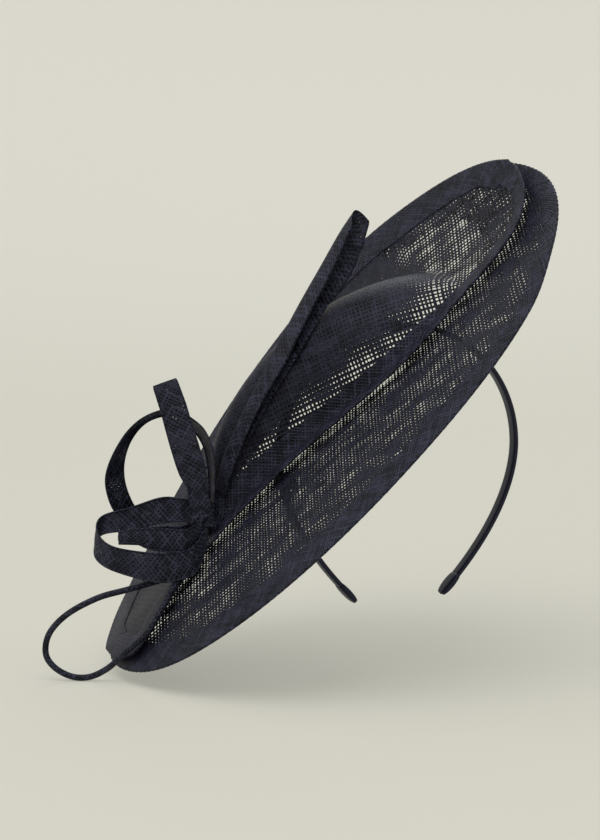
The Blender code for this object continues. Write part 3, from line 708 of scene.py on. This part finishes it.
def half_band():
    """The band's right half, from the crest: arc length, x and z of its centre line, in metres."""
    crest = SLEEVE_DEPTH / 2
    arch_steps, leg_steps = 90, 74
    points = []
    for i in range(arch_steps + 1):
        angle = math.radians(90 * i / arch_steps)
        x = BAND_HALF_WIDTH * math.sin(angle)
        points.append((x, crest - BAND_CROWN_DROP * (1 - math.cos(angle))))
    for i in range(1, leg_steps + 1):
        drop = BAND_LEG_DROP * i / leg_steps
        x = BAND_HALF_WIDTH * (1 - LEG_CURVE * (drop / CM) ** LEG_POWER)
        points.append((x, crest - BAND_CROWN_DROP - drop))
    points = np.array(points)
    arc = np.concatenate([[0], np.cumsum(np.linalg.norm(np.diff(points, axis=0), axis=1))])
    return arc, points[:, 0], points[:, 1]


BAND_ARC, BAND_X, BAND_Z = half_band()
BAND_END = float(BAND_ARC[-1])


def band_at(arc):
    """Centre, run and outward normal of the band, at a signed arc length from the crest."""
    side = 1 if arc >= 0 else -1
    step = 1 * MM

    def spot(length):
        length = min(max(length, 0.0), BAND_END)
        return np.array([np.interp(length, BAND_ARC, BAND_X), 0.0, np.interp(length, BAND_ARC, BAND_Z)])

    here = spot(abs(arc))
    run = spot(abs(arc) + step) - spot(abs(arc) - step)
    run /= np.linalg.norm(run)
    out = np.array([-run[2], 0.0, run[0]])
    if side < 0:
        here[0], run, out[0] = -here[0], run * (1, 1, -1), -out[0]
    return here, run, out


def squared(value, power):
    """Pushes a round outline out towards its corners."""
    return math.copysign(abs(value) ** power, value)


def band_sleeve(name, start, end, hinge, nodes, material):
    """Satin drawn round the strip, crossing the arm's hinge in one piece."""
    stations = int(abs(end - start) / (2 * MM))
    sides = 28
    girth = 2 * (SLEEVE_WIDTH + SLEEVE_DEPTH)

    def place(column, row):
        here, _, out = band_at(start + (end - start) * row / stations)
        angle = 2 * math.pi * (column + 0.5) / sides
        across = np.array([0.0, SLEEVE_WIDTH / 2 * squared(math.cos(angle), 0.5), 0.0])
        return here + across + out * SLEEVE_DEPTH / 2 * squared(math.sin(angle), 0.5)

    def weave(column, row):
        return abs(end - start) * row / stations, girth * column / sides

    item = grid(name, sides, stations, place, weave, material, Matrix.Identity(4))
    toward = BEND_REACH if hinge > 0 else -BEND_REACH
    before, after = (tuple(band_at(hinge + way)[0]) for way in (-toward, toward))
    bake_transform(item)
    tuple(before)
    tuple(after)
    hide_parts(*nodes)


def band_tip(side, body, node, material):
    """Wrapped end: the satin gathered over a flat cap."""
    here, run, out = band_at(side * BAND_END)
    run = run * side
    across_way = np.array([0.0, 1.0, 0.0])
    columns, rows = 32, 22
    lowest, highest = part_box(node)
    width = highest[1] - lowest[1]

    def place(column, row):
        share = row / rows
        angle = 2 * math.pi * column / columns
        swell = math.sin(math.pi * min(1.0, 0.12 + 0.86 * share)) ** 0.28
        if row in (0, rows):
            swell = 0.02
        across = across_way * squared(math.cos(angle), 0.55) * width / 2
        deep = out * squared(math.sin(angle), 0.55) * TIP_HALF_DEPTH
        along = TIP_START + TIP_LENGTH * share - TIP_OVERLAP * (1 - share)
        return here + run * along + (across + deep) * swell

    def weave(column, row):
        return TIP_LENGTH * row / rows, TIP_GIRTH * column / columns

    item = grid(f"tip_{body}", columns, rows, place, weave, material, Matrix.Identity(4))
    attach(item, body)
    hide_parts(node)


# ---------------------------------------------------------------- materials


class Nodes:
    """Short names for building a node tree."""

    def __init__(self, name):
        self.material = bpy.data.materials.new(name)
        self.material.use_nodes = True
        self.tree = self.material.node_tree
        self.shader = self.tree.nodes["Principled BSDF"]

    def new(self, kind, **settings):
        node = self.tree.nodes.new(kind)
        for key, value in settings.items():
            setattr(node, key, value)
        return node

    def put(self, socket, value):
        if isinstance(value, bpy.types.NodeSocket):
            self.tree.links.new(value, socket)
        else:
            socket.default_value = value

    def math(self, operation, *values, clamp=False):
        node = self.new("ShaderNodeMath", operation=operation, use_clamp=clamp)
        for socket, value in zip(node.inputs, values):
            self.put(socket, value)
        return node.outputs[0]

    def times(self, first, second):
        return self.math("MULTIPLY", first, second)

    def noise(self, vector, scale, detail=2.0):
        node = self.new("ShaderNodeTexNoise")
        self.put(node.inputs["Vector"], vector)
        node.inputs["Scale"].default_value = scale
        node.inputs["Detail"].default_value = detail
        return node.outputs["Fac"]

    def combine(self, x, y, z=0.0):
        node = self.new("ShaderNodeCombineXYZ")
        for socket, value in zip(node.inputs, (x, y, z)):
            self.put(socket, value)
        return node.outputs[0]

    def streaks(self, x, x_scale, y, y_scale, seed=0.0, detail=2.0):
        """Noise over two values, each with its own scale."""
        vector = self.combine(self.times(x, x_scale), self.times(y, y_scale), seed)
        return self.noise(vector, 1.0, detail)

    def bump(self, height, strength, distance):
        node = self.new("ShaderNodeBump")
        node.inputs["Strength"].default_value = strength
        node.inputs["Distance"].default_value = distance
        self.put(node.inputs["Height"], height)
        self.put(self.shader.inputs["Normal"], node.outputs[0])

    def smooth(self, value, low, high):
        node = self.new("ShaderNodeMapRange", interpolation_type="SMOOTHSTEP")
        self.put(node.inputs["Value"], value)
        self.put(node.inputs["From Min"], low)
        self.put(node.inputs["From Max"], high)
        return node.outputs["Result"]

    def parts(self, vector):
        split = self.new("ShaderNodeSeparateXYZ")
        self.put(split.inputs[0], vector)
        return split.outputs

    def weave_place(self):
        return self.parts(self.new("ShaderNodeAttribute", attribute_name=WEAVE).outputs["Vector"])

    def object_place(self):
        return self.new("ShaderNodeTexCoord").outputs["Object"]

    def mix_colour(self, share, first, second):
        node = self.new("ShaderNodeMix", data_type="RGBA")
        self.put(node.inputs["Factor"], share)
        self.put(node.inputs["A"], first)
        self.put(node.inputs["B"], second)
        return node.outputs["Result"]


def threads(m, across, along, pitch, seed, patch, cover, closer):
    """One set of parallel threads that wander and vary: lane number, mask, roundness and shade."""
    slow = m.streaks(across, 60.0, along, 14.0, seed, 3.0)
    quick = m.streaks(across, 420.0, along, 12.0, seed)
    wander = m.math("ADD", m.times(slow, 1.6), m.times(quick, 0.9))
    lane = m.math("DIVIDE", m.math("ADD", across, m.times(wander, pitch)), pitch)
    offset = m.math("PINGPONG", lane, 0.5)
    which = m.math("FLOOR", m.math("ADD", lane, 0.5))
    slub = m.streaks(which, 7.31, along, 70.0, seed)
    thick = m.math("ADD", m.times(slub, 1.2), m.times(patch, 1.4))
    half = m.math("ADD", m.times(m.math("SUBTRACT", thick, 0.3), cover / 2), closer)
    edge = m.math("SUBTRACT", offset, half)
    mask = m.math("SUBTRACT", 1.0, m.smooth(edge, *THREAD_EDGE))
    roundness = m.math("SUBTRACT", 1.0, m.smooth(edge, *THREAD_ROUND))
    return lane, mask, roundness, slub


def woven(name, pitch, cover, dark, light, backed=0.0):
    """Two sets of slubby threads, with gaps between them, coloured with painted highlight and shade.

    cover is the thread's share of its pitch. backed is 0 for one open layer; near 1, another layer
    behind leaves hardly a gap.
    """
    m = Nodes(name)
    u, v, close = m.weave_place()
    patch = m.streaks(u, 120.0, v, 62.0, 0.0, 3.0)
    closer = m.times(close, 0.2)
    first = threads(m, u, v, pitch[0], THREAD_SEEDS[0], patch, cover, closer)
    second = threads(m, v, u, pitch[1], THREAD_SEEDS[1], patch, cover, closer)
    lanes, masks, heights, shades = zip(first, second)
    crossing = [m.math("SINE", m.times(lane, math.pi)) for lane in lanes]
    over = m.times(m.times(*crossing), 0.3)
    lift = m.math("MAXIMUM", m.math("ADD", heights[0], over), m.math("SUBTRACT", heights[1], over))
    cloth = m.math("MAXIMUM", *masks)
    if backed > 0:
        through = m.smooth(patch, 0.42 + 0.2 * backed, 0.5 + 0.2 * backed)
        gap = m.times(m.math("SUBTRACT", 1.0, cloth), through)
        cloth = m.math("SUBTRACT", 1.0, gap, clamp=True)
    m.put(m.shader.inputs["Alpha"], cloth)
    m.bump(lift, 0.9, 0.4 * MM)
    # Painted light: the colour runs from dark, a painted shade at each thread's edges and where it dips
    # under the crossing thread, to light, a painted highlight on its crown. Each thread's own fibre
    # tone varies it. Gaps that the backing closes show the dark painted shade.
    fibre = m.times(m.math("ADD", *shades), 0.75)
    raised = m.math("POWER", m.math("MAXIMUM", lift, 0.0), 2.6)
    painted_light_share = m.math("MULTIPLY", raised, m.math("POWER", fibre, 2.0), clamp=True)
    m.put(m.shader.inputs["Base Color"], m.mix_colour(painted_light_share, dark, light))
    m.put(m.shader.inputs["Roughness"], m.math("ADD", m.times(shades[0], 0.2), 0.4))
    m.shader.inputs["Sheen Weight"].default_value = 0.02
    m.shader.inputs["Sheen Roughness"].default_value = 0.4
    m.shader.inputs["Sheen Tint"].default_value = (0.4, 0.45, 0.9, 1.0)
    m.shader.inputs["Specular IOR Level"].default_value = 0.2
    m.shader.inputs["Specular Tint"].default_value = (0.8, 0.84, 1.0, 1.0)
    return m.material


def satin(name, dark, light):
    """Fine ribs across the ribbon, with the long soft gloss of satin."""
    m = Nodes(name)
    u, v, _ = m.weave_place()
    ribs = m.math("SINE", m.times(u, 2 * math.pi / SATIN_RIB))
    creases_and_painted_sheen = m.streaks(u, 180.0, v, 40.0, 0.0, 3.0)
    m.bump(m.math("ADD", m.times(ribs, 0.15), creases_and_painted_sheen), 0.35, 0.25 * MM)
    # Painted sheen and shade: the ribbon's colour is lighter on the crests of its creases and darker in
    # their hollows.
    m.put(m.shader.inputs["Base Color"], m.mix_colour(creases_and_painted_sheen, dark, light))
    m.shader.inputs["Roughness"].default_value = 0.38
    m.shader.inputs["Sheen Weight"].default_value = 0.05
    m.shader.inputs["Sheen Tint"].default_value = (0.45, 0.5, 0.8, 1.0)
    m.shader.inputs["Specular IOR Level"].default_value = 0.3
    m.shader.inputs["Specular Tint"].default_value = (0.75, 0.8, 1.0, 1.0)
    return m.material


def ribbed(name, dark, light):
    """Petersham: firm ribs across the ribbon, for a CAD node in its own coordinates."""
    m = Nodes(name)
    place = m.object_place()
    ribs = m.math("SINE", m.times(m.parts(place)[1], 2 * math.pi / PETERSHAM_RIB))
    m.bump(ribs, 0.5, 0.2 * MM)
    m.put(m.shader.inputs["Base Color"], m.mix_colour(m.noise(place, 300.0), dark, light))
    m.shader.inputs["Roughness"].default_value = 0.7
    return m.material


def drawn_wire(name):
    """Bare steel with a fine grain."""
    m = Nodes(name)
    grain = m.noise(m.object_place(), 900.0, 3.0)
    colour = m.mix_colour(grain, (0.35, 0.35, 0.36, 1), (0.55, 0.55, 0.56, 1))
    m.put(m.shader.inputs["Base Color"], colour)
    m.put(m.shader.inputs["Roughness"], m.math("ADD", m.times(grain, 0.2), 0.22))
    m.shader.inputs["Metallic"].default_value = 1.0
    return m.material


# ---------------------------------------------------------------- stage


def bowl(material):
    """A floor that curves up into a wall all round, so every view has the same plain ground."""
    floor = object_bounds()[0][2]
    profile = [(0.0, 0.0), (FLOOR_RADIUS, 0.0)]
    bend_steps, turns = 12, 96
    for i in range(1, bend_steps + 1):
        angle = math.radians(90 * i / bend_steps)
        out, up = WALL_BEND * math.sin(angle), WALL_BEND * (1 - math.cos(angle))
        profile.append((FLOOR_RADIUS + out, up))
    profile.append((FLOOR_RADIUS + WALL_BEND, WALL_HEIGHT))

    def place(column, row):
        angle = 2 * math.pi * column / turns
        radius, height = profile[row]
        return radius * math.cos(angle), radius * math.sin(angle), floor + height

    def weave(column, row):
        return 0, 0

    rows = len(profile) - 1
    grid("stage_floor", turns, rows, place, weave, material, Matrix.Identity(4))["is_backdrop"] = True


def paper(name, near, far, glow):
    """Plain paper, painted lighter towards the wall, which gets less light, and darker near the middle,
    where the key lamp falls. It glows, a painted light, so that shadows on it stay pale.
    """
    m = Nodes(name)
    x, y, _ = m.parts(m.object_place())
    squares = [m.math("POWER", value, 2.0) for value in (x, y)]
    radius = m.math("SQRT", m.math("ADD", *squares))
    colour = m.mix_colour(m.smooth(radius, 0.8, 3.0), near, far)
    m.put(m.shader.inputs["Base Color"], colour)
    m.put(m.shader.inputs["Emission Color"], colour)
    m.shader.inputs["Emission Strength"].default_value = glow
    m.shader.inputs["Roughness"].default_value = 0.9
    m.shader.inputs["Specular IOR Level"].default_value = 0.1
    return m.material


def area_light(name, place, size, power, colour):
    data = bpy.data.lights.new(name, "AREA")
    data.shape = "DISK"
    data.size = size
    data.energy = power
    data.color = colour
    item = bpy.data.objects.new(name, data)
    item.location = place
    item.rotation_euler = (Vector(LIGHTS_AIM) - Vector(place)).to_track_quat("-Z", "Y").to_euler()
    bpy.context.scene.collection.objects.link(item)


def stage():
    # Paper colours are painted darker near the middle and lighter at the wall to even out the light,
    # and a glow paints light into its shadows.
    near, far, glow = (0.309, 0.306, 0.272, 1.0), (0.386, 0.378, 0.345, 1.0), 0.9
    bowl(paper("stage_paper", near, far, glow))
    world = bpy.data.worlds.new("soft_sky")
    world.use_nodes = True
    world.node_tree.nodes["Background"].inputs["Color"].default_value = (1.0, 0.995, 0.97, 1.0)
    world.node_tree.nodes["Background"].inputs["Strength"].default_value = 1.0
    bpy.context.scene.world = world
    area_light("key", (-0.8, -0.8, 2.1), 2.0, 26, (1.0, 0.99, 0.97))
    area_light("rim", (0.9, 1.5, 1.3), 1.0, 7, (0.9, 0.94, 1.0))
    bpy.context.scene.view_settings.view_transform = "Standard"


def camera():
    level = math.cos(CAMERA_LIFT)
    across, away = math.sin(CAMERA_TURN) * level, -math.cos(CAMERA_TURN) * level
    back = Vector((across, away, math.sin(CAMERA_LIFT)))
    data = bpy.data.cameras.new("camera")
    data.sensor_width = CAMERA_SENSOR
    data.lens = CAMERA_LENS
    item = bpy.data.objects.new("camera", data)
    item.location = CAMERA_TARGET + back * CAMERA_DISTANCE
    item.rotation_euler = (-back).to_track_quat("-Z", "Y").to_euler()
    bpy.context.scene.collection.objects.link(item)
    bpy.context.scene.camera = item


# ---------------------------------------------------------------- build


def build():
    # Cloth colours: the near-black navy is the cloth's own colour and also the painted shade at thread
    # edges, under crossings and in closed gaps. The two lighter navies are painted highlights on the
    # threads' crowns.
    navy = (0.0012, 0.0013, 0.0022, 1.0)
    navy_highlight = (0.019, 0.0203, 0.036, 1.0)
    thread_highlight = (0.033, 0.035, 0.062, 1.0)
    cloth = woven("sinamay_cloth", THREAD_PITCH, 0.80, navy, navy_highlight)
    doubled = woven("sinamay_strip", STRIP_PITCH, 0.80, navy, thread_highlight, 0.4)
    hems = woven("sinamay_hem_cloth", HEM_PITCH, 0.82, navy, thread_highlight, 1.0)
    # The ribbon's lighter colour is painted sheen on the crests of its creases, and its darker one is
    # painted shade in their hollows.
    ribbon = satin("satin_ribbon", (0.003, 0.0033, 0.009, 1), (0.011, 0.012, 0.030, 1))
    wire = drawn_wire("wire_steel")
    petersham = ribbed("petersham_ribbon", (0.005, 0.0055, 0.011, 1), (0.018, 0.019, 0.034, 1))
    for word, material in (("keeper", petersham), ("wire", wire), ("core", wire)):
        for node in [node for name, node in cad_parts.items() if word in name]:
            node.data.materials.clear()
            node.data.materials.append(material)
    camera()
    stage()
    saucer_brim(cloth)
    crown_piece(cloth)
    hem(
        "hem_lower", saucer_rim(), SAUCER_SPINE, saucer_height, saucer_hem_widths(),
        "saucer_hem", hems,
    )
    hem(
        "hem_upper", crown_rim(), CROWN_SPINE, crown_sheet_height, crown_hem_widths(),
        "crown_hem", hems,
    )
    knot(hems)
    quill(doubled)
    strip("tail_cloth", TAIL_STRIP, 40, "tail_strip", doubled)
    strip("round_loop_cloth", ROUND_LOOP, 120, "round_loop", doubled)
    strip("middle_loop_cloth", MIDDLE_LOOP, 120, "middle_loop", doubled)
    strip("inner_loop_cloth", INNER_LOOP, 90, "inner_loop", doubled)
    wire_loop(doubled)
    left, right = ("band_sleeve_left", "band_sleeve_crest"), ("band_sleeve_right",)
    band_sleeve("satin_left", SPLIT_ARC, -BAND_END, LEFT_HINGE_ARC, left, ribbon)
    band_sleeve("satin_right", SPLIT_ARC, BAND_END, RIGHT_HINGE_ARC, right, ribbon)
    band_tip(-1, "left_arm", "band_tip_left", ribbon)
    band_tip(1, "right_arm", "band_tip_right", ribbon)


build()
